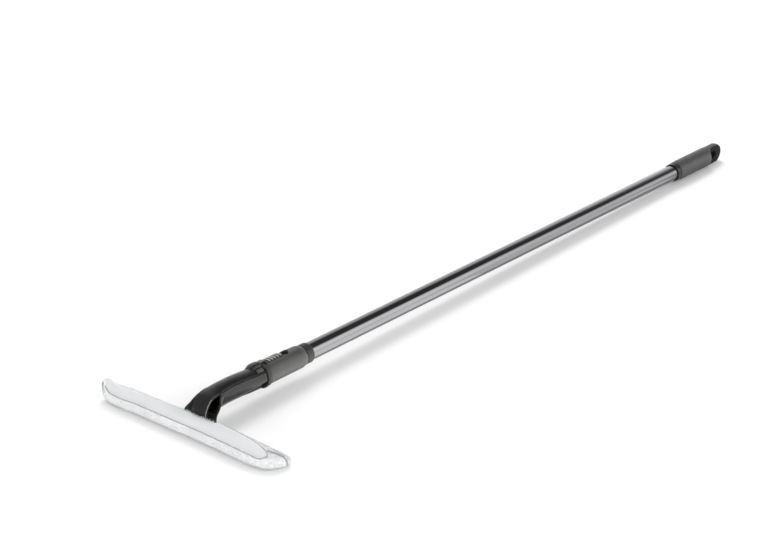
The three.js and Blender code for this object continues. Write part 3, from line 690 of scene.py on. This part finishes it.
def build_button():
    start, end, half, under = 7.0, 37.0, 7.5, 13.2
    rows, columns = 121, 29
    pitch = (end - start - 6) / 5

    def height(y, u):
        lift = 0.0
        for i in range(5):
            centre = start + 3.4 + (i + 0.5) * pitch
            lift = max(lift, 1.3 * max(0.0, 1 - (abs(y - centre) / (pitch * 0.33)) ** 4))
        lift *= max(0.0, 1 - (abs(u) / 0.97) ** 12)
        edge = max(0.0, 1 - min(y - start, end - y) / 0.9)
        return 14.5 + lift - 0.5 * edge**2 - 0.5 * max(0.0, (abs(u) - 0.86) / 0.14) ** 2

    points, faces = [], []
    for layer in (0, 1):
        for r in range(rows):
            y = start + (end - start) * r / (rows - 1)
            back = end - half
            width = half if y <= back else math.sqrt(max(half**2 - (y - back) ** 2, 0.05))
            for c in range(columns):
                u = -1 + 2 * c / (columns - 1)
                x = u * width
                radius = height(y, u) if layer else under
                points.append((x, y, math.sqrt(radius**2 - x * x)))
    size = rows * columns
    for r in range(rows - 1):
        for c in range(columns - 1):
            a = r * columns + c
            faces.append((a, a + 1, a + columns + 1, a + columns))
            faces.append((size + a, size + a + columns, size + a + columns + 1, size + a + 1))
    rim = list(range(columns)) + [r * columns + columns - 1 for r in range(1, rows)]
    rim += [(rows - 1) * columns + c for c in range(columns - 2, -1, -1)]
    rim += [r * columns for r in range(rows - 2, 0, -1)]
    for a, b in zip(rim, rim[1:] + rim[:1]):
        faces.append((a, b, size + b, size + a))
    plate = mesh_object("button_plate", points, faces)
    outward(plate)
    tongue = slab("tongue", (-4.3, -6.4, 15.0), (4.3, 8.2, 16.35))
    heel = slab("heel", (-4.3, 7.05, 13.3), (4.3, 8.2, 15.4))
    for block in (tongue, heel):
        softened(block, 0.3, 40, 2)
    button = joined("release_button_skin", [plate, tongue, heel])

    def kind(spot):
        """0 on the button's body, 1 in the gaps between its ribs, painted dark as shade, 2 on their crests,
        painted light as highlight.
        """
        radius = math.hypot(spot.x, spot.z)
        if not start + 2.6 < spot.y < end - 2.6 or abs(spot.x) >= 7.1:
            return 0
        return 2 if radius > 15.2 else 1 if radius < 14.9 else 0

    kinds = [kind(polygon.center) for polygon in button.data.polygons]
    finished(button, LATCH, "release_slider", "soft_grey", "release_button", sharp=35)
    # The rib gaps take painted shade, the rib crests a painted highlight.
    button.data.materials.append(HOLLOW_PAINTED_SHADE)
    button.data.materials.append(RIB_CREST_HIGHLIGHT)
    button.data.polygons.foreach_set("material_index", kinds)


def build_spring():
    """The return spring: it shortens between the carriage and the slot's rear wall."""
    turns, coil, wire, start, end, height = 5, 1.15, 0.22, 37.31, 46.23, 12.5
    path = []
    for k in range(24 * turns + 1):
        share = k / (24 * turns)
        angle = 2 * math.pi * turns * share
        path.append((coil * math.cos(angle), start + wire + share * (end - start - 2 * wire),
                     height + coil * math.sin(angle)))
    spring = tube("slider_spring_skin", path, wire, 10)
    finished(spring, LATCH, "release_slider", "spring_steel", "slider_spring", sharp=60)
    # The spring is painted dark as the shade in its slot, in place of steel grey.
    spring.data.materials[0] = HOLLOW_PAINTED_SHADE
    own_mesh(spring)


# ------------------------------------------------------------------ the sleeve
def through(points, x):
    """The value at x on a smooth curve through (x, value) points."""
    last = len(points) - 1
    i = next((k for k in range(last) if x < points[k + 1][0]), last - 1)

    def slope(k):
        (xa, va), (xb, vb) = points[max(k - 1, 0)], points[min(k + 1, last)]
        return (vb - va) / (xb - xa)

    (x0, v0), (x1, v1) = points[i], points[i + 1]
    t = min(max((x - x0) / (x1 - x0), 0.0), 1.0)
    return (v0 + (v1 - v0) * eased(t)
            + (x1 - x0) * (slope(i) * t * (1 - t) ** 2 - slope(i + 1) * t * t * (1 - t)))


PAD_LEFT, PAD_RIGHT = -138.0, 136.5
# The pad's outline along x: its front, its rear, the height of its top and the line of its ridge.
PAD_FRONT = [(-138, -13.6), (-131, -15.8), (-122, -18.2), (-99, -19.4), (-80, -18.2), (-39, -18.0),
             (23, -17.6), (87, -18.6), (105, -18.4), (114, -17.4), (121, -15), (127, -11.5), (131, -7),
             (134, -1), (136.5, 5)]
PAD_REAR = [(-138, 4.5), (-131, 9), (-120, 14), (-105, 15.4), (-90, 15.4), (0, 15.6), (90, 16.2), (120, 17),
            (130, 17), (134, 16), (136.5, 13)]
PAD_TOP = [(-138, 16), (-120, 16.8), (0, 17.2), (80, 17.2), (95, 16.8), (105, 16), (115, 14.6), (126, 13),
           (133, 11), (136.5, 9.5)]
PAD_RIDGE = [(-138, -3), (-126, -2.4), (-84, 0.8), (-55, 3), (-27, 6.4), (21, 9.2), (45, 9), (80, 5.6),
             (104, 0.6), (115, -1), (136.5, 7)]


def pad_section(x):
    """The pad's section at x as (y, z), walking round it from the rear foot."""
    front, rear, top, ridge = (through(curve, x) for curve in (PAD_FRONT, PAD_REAR, PAD_TOP, PAD_RIDGE))
    ridge = min(max(ridge, front + 4), rear - 3)
    middle = front + 0.45 * (ridge - front)
    return [(rear - 3, 0.4), (rear - 0.8, 0.17 * top), (rear, 0.4 * top), (rear - 0.6, 0.63 * top),
            (ridge + 0.55 * (rear - ridge), 0.76 * top), (ridge + 0.6, 0.95 * top), (middle, top),
            (front + 5.2, 0.99 * top), (front + 2.1, 0.945 * top), (front + 0.6, 0.85 * top),
            (front, 0.66 * top), (front - 0.4, 0.42 * top), (front - 0.1, 0.2 * top),
            (front + 1.2, 0.07 * top), (front + 3.2, 0.4), (0.5 * (front + rear), 0.3)]


def build_pad():
    rings = []
    stops = [-138, -137.6, -136.6, -135.2, -133.6]
    stops += [-131 + 2.9 * k for k in range(90)]
    stops += [129, 131, 133, 134.6, 135.8, 136.5]
    for x in stops:
        nearest = min(x - PAD_LEFT, 0.9 * (PAD_RIGHT - x))
        closing = math.sqrt(max(1 - (1 - min(nearest / 4.4, 1)) ** 2, 0.0)) * 0.9 + 0.1
        section = filleted(pad_section(x), 2.0, closed=True, steps=2)
        y_mid = sum(p[0] for p in section) / len(section)
        z_mid = sum(p[1] for p in section) / len(section)
        rings.append([(x, y_mid + (y - y_mid) * closing, z_mid + (z - z_mid) * closing) for y, z in section])
    pad = loft("sleeve_pad", rings)
    pad.data.transform(HEAD)
    step = pad.modifiers.new("even", "REMESH")
    step.mode = "VOXEL"
    step.voxel_size = 0.003
    baked(pad)
    swell(pad, pressure=4.0, cap=0.0008)
    step = pad.modifiers.new("fine", "SUBSURF")
    step.levels = 1
    baked(pad)
    return pad


def swell(obj, pressure, cap):
    """Blow the pad up a little as cloth, even out its creases, then hold each point within the cap."""
    rest = [v.co.copy() for v in obj.data.vertices]
    cloth = obj.modifiers.new("cloth", "CLOTH")
    cloth.settings.quality = 5
    cloth.settings.mass = 0.3
    cloth.settings.use_pressure = True
    cloth.settings.uniform_pressure_force = pressure
    cloth.settings.tension_stiffness = 12
    cloth.settings.bending_stiffness = 0.6
    cloth.settings.effector_weights.gravity = 0
    cloth.collision_settings.use_collision = False
    frames, rounds = 20, 12
    cloth.point_cache.frame_start, cloth.point_cache.frame_end = 1, frames
    scene = bpy.context.scene
    for step in range(1, frames + 1):
        scene.frame_set(step)
    baked(obj)
    scene.frame_set(1)
    moves = [vertex.co - start for vertex, start in zip(obj.data.vertices, rest)]
    links = [[] for _ in rest]
    for edge in obj.data.edges:
        i, j = edge.vertices
        links[i].append(j)
        links[j].append(i)
    for _ in range(rounds):
        moves = [sum((moves[j] for j in near), here) / (len(near) + 1) for here, near in zip(moves, links)]
    for vertex, start, move in zip(obj.data.vertices, rest, moves):
        if move.length > cap:
            move = move * (cap / move.length)
        place = start + move
        vertex.co = (place.x, place.y, max(place.z, 0.0001))


def shaped(point):
    """Lift the left end's loose rim, and press the pad down under the neck's foot."""
    lift, foot_half, foot_front, foot_height = 10.0, 30, 6.6, 14.5
    x, y, z = HEAD_INVERSE @ point
    near = eased((-x - 121) / 13)
    across = eased((y + 17.6) / 4.5) * (1 - 0.7 * eased((y + 8) / 11))
    z += lift * near * across * eased((z - 3) / 11)
    if abs(x) < foot_half and y > foot_front:
        z = min(z, foot_height)
    return HEAD @ Vector((x, y, max(z, 0.05)))


def build_sleeve():
    random.seed(7)
    pad = build_pad()
    for vertex in pad.data.vertices:
        place = shaped(vertex.co)
        fuzz = noise.noise(place * 260) * 0.0005 + noise.noise(place * 700) * 0.0002
        vertex.co = place + vertex.normal * fuzz
        vertex.co.z = max(vertex.co.z, 0.00005)
    finished(pad, Matrix.Identity(4), "inner_pole", "plush", "sleeve_bottom", "sleeve_front", "sleeve_rear",
             "sleeve_end_left", "sleeve_end_right", sharp=180)

    tree = BVHTree.FromObject(pad, bpy.context.evaluated_depsgraph_get())

    def height_over(x, y):
        """The pad's top at a head point in millimetres."""
        spot = HEAD @ Vector((x, y, 0))
        hit, *_ = tree.ray_cast(Vector((spot.x, spot.y, 0.06)), Vector((0, 0, -1)))
        return hit.z / MM if hit else 8.0

    build_panel(tree, height_over)
    build_end_seam(tree)
    build_pile(pad)


# The smooth panel: its ends, its front and back edges along x, and where its right end starts to round.
PANEL_LEFT, PANEL_RIGHT = -134.6, 119.5
SEAM_LINE = [(-134.6, -12.6), (-129, -15.5), (-121, -17.7), (-99, -18.7), (-80, -16.4), (-39, -16.2),
             (23, -15.5), (87, -16.8), (103, -16.9), (119.5, -16.9)]
BACK_LINE = [(-134.6, 2.4), (-126, 0.4), (-84, 2.6), (-55, 4.6), (-30, 6.5), (-24, 6.5), (24, 6.5), (31, 9.4),
             (45, 9.6), (80, 6.5), (104, 1), (119.5, -3.4)]
CURL_FROM, CURL_MIDDLE = 108.0, -9.0


def curl(x):
    end = min(max(0.0, (x - CURL_FROM) / (PANEL_RIGHT - CURL_FROM)), 1.0)
    return 1 - math.sqrt(max(1 - end**2.4, 0))


def panel_front(x):
    seam = through(SEAM_LINE, x)
    return seam + (CURL_MIDDLE - seam) * curl(x)


def panel_back(x):
    back = through(BACK_LINE, x)
    return back + (CURL_MIDDLE - back) * curl(x)


def build_panel(tree, height_over):
    """The smooth cloth on top, laid on the pad and over its left end, with its overlocked edge."""
    columns, rows = 156, 24
    wrap = [(-136.0, 20.5), (-138.2, 16.0), (-139.0, 11.0), (-139.1, 6.5), (-138.4, 2.6)]
    top = []
    for c in range(columns + 1):
        if c < len(wrap):
            x, drop = PANEL_LEFT, wrap[c][1]
        else:
            share = (c - len(wrap)) / (columns - len(wrap))
            x = PANEL_LEFT + (PANEL_RIGHT - PANEL_LEFT) * (1 - (1 - share) ** 1.15)
            drop = 0.0
        front, back = panel_front(x), panel_back(x)
        seam = shaped(HEAD @ Vector((x, front - 0.3, through(PAD_TOP, x) * (0.84 + 0.16 * curl(x)))))
        near, normal, *_ = tree.find_nearest(seam)
        top.append(HEAD_INVERSE @ (near + normal * 0.0006))
        if c < len(wrap):
            top[-1].x = wrap[c][0]
            top[-1].z = max(top[-1].z - drop, 1.5)
        for r in range(1, rows + 1):
            y = front + (back - front) * r / rows
            edge = min(r, rows - r) / rows
            crown = 0.6 * math.sqrt(min(1, edge * 6))
            ripple = 0.16 * noise.noise(Vector((x * 0.045, y * 0.12, 0.5)))
            height = height_over(x, y) + 0.25 + crown + ripple
            if c < len(wrap):
                top.append(Vector((wrap[c][0], y * 0.97 + 0.3, max(height - drop, 1.5))))
            else:
                top.append(Vector((x, y, height)))
    across = rows + 1
    smooth = [p.z for p in top]
    for _ in range(5):
        old = smooth[:]
        for c in range(len(wrap), columns):
            for r in range(1, rows):
                i = c * across + r
                smooth[i] = (2 * old[i] + old[i - 1] + old[i + 1] + old[i - across] + old[i + across]) / 6
    for i, p in enumerate(top):
        if i % across:
            p.z = max(smooth[i], p.z - 0.3)
    for _ in range(10):
        rim = [top[c * across].copy() for c in range(columns + 1)]
        for c in range(len(wrap) + 1, columns):
            top[c * across] = (rim[c - 1] + 2 * rim[c] + rim[c + 1]) / 4
    faces = []
    for c in range(columns):
        for r in range(rows):
            i = c * across + r
            faces.append((i, i + across, i + across + 1, i + 1))
    cloth = mesh_object("sleeve_top_cloth", [HEAD @ p for p in top], faces)
    step = cloth.modifiers.new("thick", "SOLIDIFY")
    step.thickness = 0.0009
    step.offset = -1
    baked(cloth)
    finished(cloth, Matrix.Identity(4), "inner_pole", "panel_cloth", "sleeve_top_panel", sharp=60)

    first = len(wrap) + 2
    edge_front = [top[c * across] for c in range(first, columns + 1)]
    edge_back = [top[c * across + rows] for c in range(columns, len(wrap), -1)]
    stitch_line("seam_front", edge_front + edge_back[:16], 0.75)
    stitch_line("seam_back", [p for p in edge_back[14:] if p.x > 36], 0.4)


def build_end_seam(tree):
    """The seam over the right end, pressed a little into the plush."""
    line = [(112, 0.8, 14.6), (118, 4.4, 13.8), (125, 6.2, 12.8), (131, 7.2, 9.5), (133.6, 7.2, 6),
            (134.2, 7, 2.5)]
    path = []
    for p in filleted(line, 4.0, steps=5):
        near, normal, *_ = tree.find_nearest(HEAD @ p)
        path.append(HEAD_INVERSE @ (near + normal * 0.0009))
    for _ in range(8):
        path[1:-1] = [(a + 2 * b + c) / 4 for a, b, c in zip(path, path[1:], path[2:])]
    stitch_line("seam_end", path, 0.75)


def resampled(points, pitch):
    """Points about a pitch apart along the path."""
    result = [points[0].copy()]
    for goal in points[1:]:
        while (goal - result[-1]).length >= pitch:
            result.append(result[-1] + (goal - result[-1]).normalized() * pitch)
    return result


def stitch_line(name, points, radius):
    """An overlocked edge: a knobbly cord of thread loops."""
    path = [HEAD @ (p + Vector((0, 0, 0.15))) for p in resampled(points, 0.5)]
    cord = tube(name, path, lambda i: (radius + 0.16 * math.sin(i * 1.9) + 0.05 * math.sin(i * 0.37)) * MM, 8)
    cord.data.materials.append(THREAD)
    cord.data.shade_smooth()
    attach(cord, "inner_pole")


TUFT_SPACE = 0.0000015  # m2 of plush to each tuft
THIRD_TURN = 2.0944


def build_pile(pad):
    """Short tufts that stand out of the plush, closed cones of three sides."""
    points, faces = [], []
    for polygon in pad.data.polygons:
        centre = polygon.center
        x, y, z = HEAD_INVERSE @ centre
        if z < 0.8 and polygon.normal.z < -0.6:
            continue
        inner = min(max(x, PANEL_LEFT), PANEL_RIGHT)
        by_foot = abs(x) < 27 and 4.4 < y <= 8.5 and z > 13
        on_top = polygon.normal.z > 0.3 or x < -131 or z > 0.8 * through(PAD_TOP, x)
        in_panel = x < PANEL_RIGHT and panel_front(inner) - 0.7 < y < panel_back(inner) - 0.6
        if in_panel and on_top and not by_foot:
            continue
        under_foot = abs(x) < 27 and y > 8.5 and z > 13
        rim = max(eased((x - 108) / 8) * eased((y - 5) / 2), 0.9 * by_foot)
        tries = 0 if under_foot else polygon.area / TUFT_SPACE
        trimmed = 0.6 if x < 30 and y > through(PAD_RIDGE, x) and not by_foot else 1.0
        while tries > random.random():
            tries -= 1
            jitter = Vector([random.uniform(-1, 1) for _ in range(3)]) * 0.0009
            root = centre + jitter - polygon.normal * jitter.dot(polygon.normal) - polygon.normal * 0.0003
            lean = Vector([random.gauss(0, 0.5) for _ in range(3)]) + Vector((0, 0, -0.35))
            direction = (polygon.normal + lean * 0.55).normalized()
            length = random.uniform(0.0011, 0.0022) * (1 + 0.6 * rim + 0.3 * eased((4 - z) / 3)) * trimmed
            side = direction.orthogonal().normalized()
            side.rotate(Matrix.Rotation(random.uniform(0, 6.28), 3, direction))
            across = direction.cross(side)
            width = random.uniform(0.00022, 0.00034)
            first = len(points)
            tip = root + direction * length
            if tip.z < 0.0001:
                continue
            for k in range(3):
                angle = THIRD_TURN * k
                points.append(root + (side * math.cos(angle) + across * math.sin(angle)) * width)
            for k in range(3):
                angle = THIRD_TURN * k + 0.5
                points.append(root + direction * length * 0.62
                              + (side * math.cos(angle) + across * math.sin(angle)) * width * 0.8)
            points.append(tip)
            faces.append((first + 2, first + 1, first))
            for k in range(3):
                n = (k + 1) % 3
                faces.append((first + k, first + n, first + 3 + n, first + 3 + k))
                faces.append((first + 3 + k, first + 3 + n, first + 6))
    pile = mesh_object("sleeve_pile", points, faces)
    finished(pile, Matrix.Identity(4), "inner_pole", "plush", sharp=180)


# ------------------------------------------------------------------ the setting
CAMERA_LENS = 110.0
CAMERA_ANGLES = (40.53, 25.19)  # azimuth and elevation, degrees
CAMERA_PLACE = (1682.7, -1638.0, 1291.1)  # from the head, mm


def build_setting():
    reach, under = 30, -0.0002
    corners = [(-reach, -reach, under), (reach, -reach, under), (reach, reach, under), (-reach, reach, under)]
    floor = mesh_object("floor", corners, [(0, 1, 2, 3)])
    floor.data.materials.append(node_material("floor", (0.9, 0.9, 0.9), 0.9, tone=0.004, tone_scale=3,
                                              grain=300, grain_depth=0.00001, specular=0.05))

    world = bpy.data.worlds.new("studio")
    bpy.context.scene.world = world
    world.use_nodes = True
    nodes, links = world.node_tree.nodes, world.node_tree.links
    direction = nodes.new("ShaderNodeTexCoord").outputs["Generated"]

    def toward(x, y, z, low, high):
        """Rises from 0 to 1 as the direction's product with (x, y, z) goes from low to high."""
        dot = nodes.new("ShaderNodeVectorMath")
        dot.operation = "DOT_PRODUCT"
        dot.inputs[1].default_value = (x, y, z)
        links.new(direction, dot.inputs[0])
        soft = nodes.new("ShaderNodeMapRange")
        soft.interpolation_type = "SMOOTHSTEP"
        soft.inputs["From Min"].default_value, soft.inputs["From Max"].default_value = low, high
        links.new(dot.outputs["Value"], soft.inputs["Value"])
        return soft.outputs["Result"]

    combined = partial(computed, world.node_tree)
    behind = toward(0, 1, 0, 0.2, 0.45)
    right = toward(1, 0, -0.9, -0.15, 0.2)
    left = toward(-1, 0, -1, -0.6, 0.05)
    front = toward(0, -1, 0, -0.25, 0.25)
    strip = combined("MULTIPLY", combined("MULTIPLY", behind, right), toward(0, -1, 0, -0.8, -0.62))
    sides = combined("ADD", combined("MULTIPLY", left, 1.5), combined("MULTIPLY", right, 2.4))
    overhead = combined("SUBTRACT", 1.0, combined("MAXIMUM", combined("MAXIMUM", left, right), behind))
    level = combined("ADD", sides, combined("MULTIPLY", overhead, 1.1))
    level = combined("MULTIPLY", level, combined("SUBTRACT", 1.0, combined("MULTIPLY", front, 0.62)))
    level = combined("ADD", level, combined("MULTIPLY", strip, 0.9))
    links.new(combined("ADD", level, 0.12), nodes["Background"].inputs["Strength"])
    nodes["Background"].inputs["Color"].default_value = (1, 1, 1, 1)

    def lamp(name, place, target, size, power):
        data = bpy.data.lights.new(name, "AREA")
        data.shape = "DISK"
        data.size = size
        data.energy = power
        made = placed(name, data)
        made.location = place
        made.rotation_euler = (Vector(target) - Vector(place)).to_track_quat("-Z", "Y").to_euler()
        return made

    lamp("key", (-1.55, 1.5, 2.7), (0, 0, 0), 1.5, 46).visible_glossy = False
    lamp("front_fill", (0.25, -2.9, 0.28), (0, -0.53, 0), 1.0, 30).visible_glossy = False
    for name, start, end, power in (("card_near", -0.42, 0.0, 0.8), ("card_far", 0.0, 0.45, 0.5)):
        card = lamp(name, (0.17, (start + end) / 2, 0.001), (0.17, (start + end) / 2, 1), 0.3, power)
        card.data.shape = "RECTANGLE"
        card.data.size_y = end - start
        card.visible_camera = False

    data = bpy.data.cameras.new("camera")
    camera = placed("camera", data)
    data.lens = CAMERA_LENS
    data.sensor_width = 36.0
    data.clip_end = 100
    azimuth, elevation = (math.radians(angle) for angle in CAMERA_ANGLES)
    right_way = Vector((math.cos(azimuth), math.sin(azimuth), 0))
    ahead = Vector((-math.sin(azimuth) * math.cos(elevation), math.cos(azimuth) * math.cos(elevation),
                    -math.sin(elevation)))
    up = right_way.cross(ahead)
    turn = Matrix((right_way, up, -ahead)).transposed().to_4x4()
    camera.matrix_world = Matrix.Translation(HEAD @ Vector(CAMERA_PLACE)) @ turn
    bpy.context.scene.camera = camera
    bpy.context.scene.view_settings.view_transform = "Standard"
    bpy.context.scene.view_settings.look = "None"


build_setting()
build_pole()
build_grip()
build_neck()
build_keeper()
build_adapter()
build_button()
build_spring()
build_sleeve()
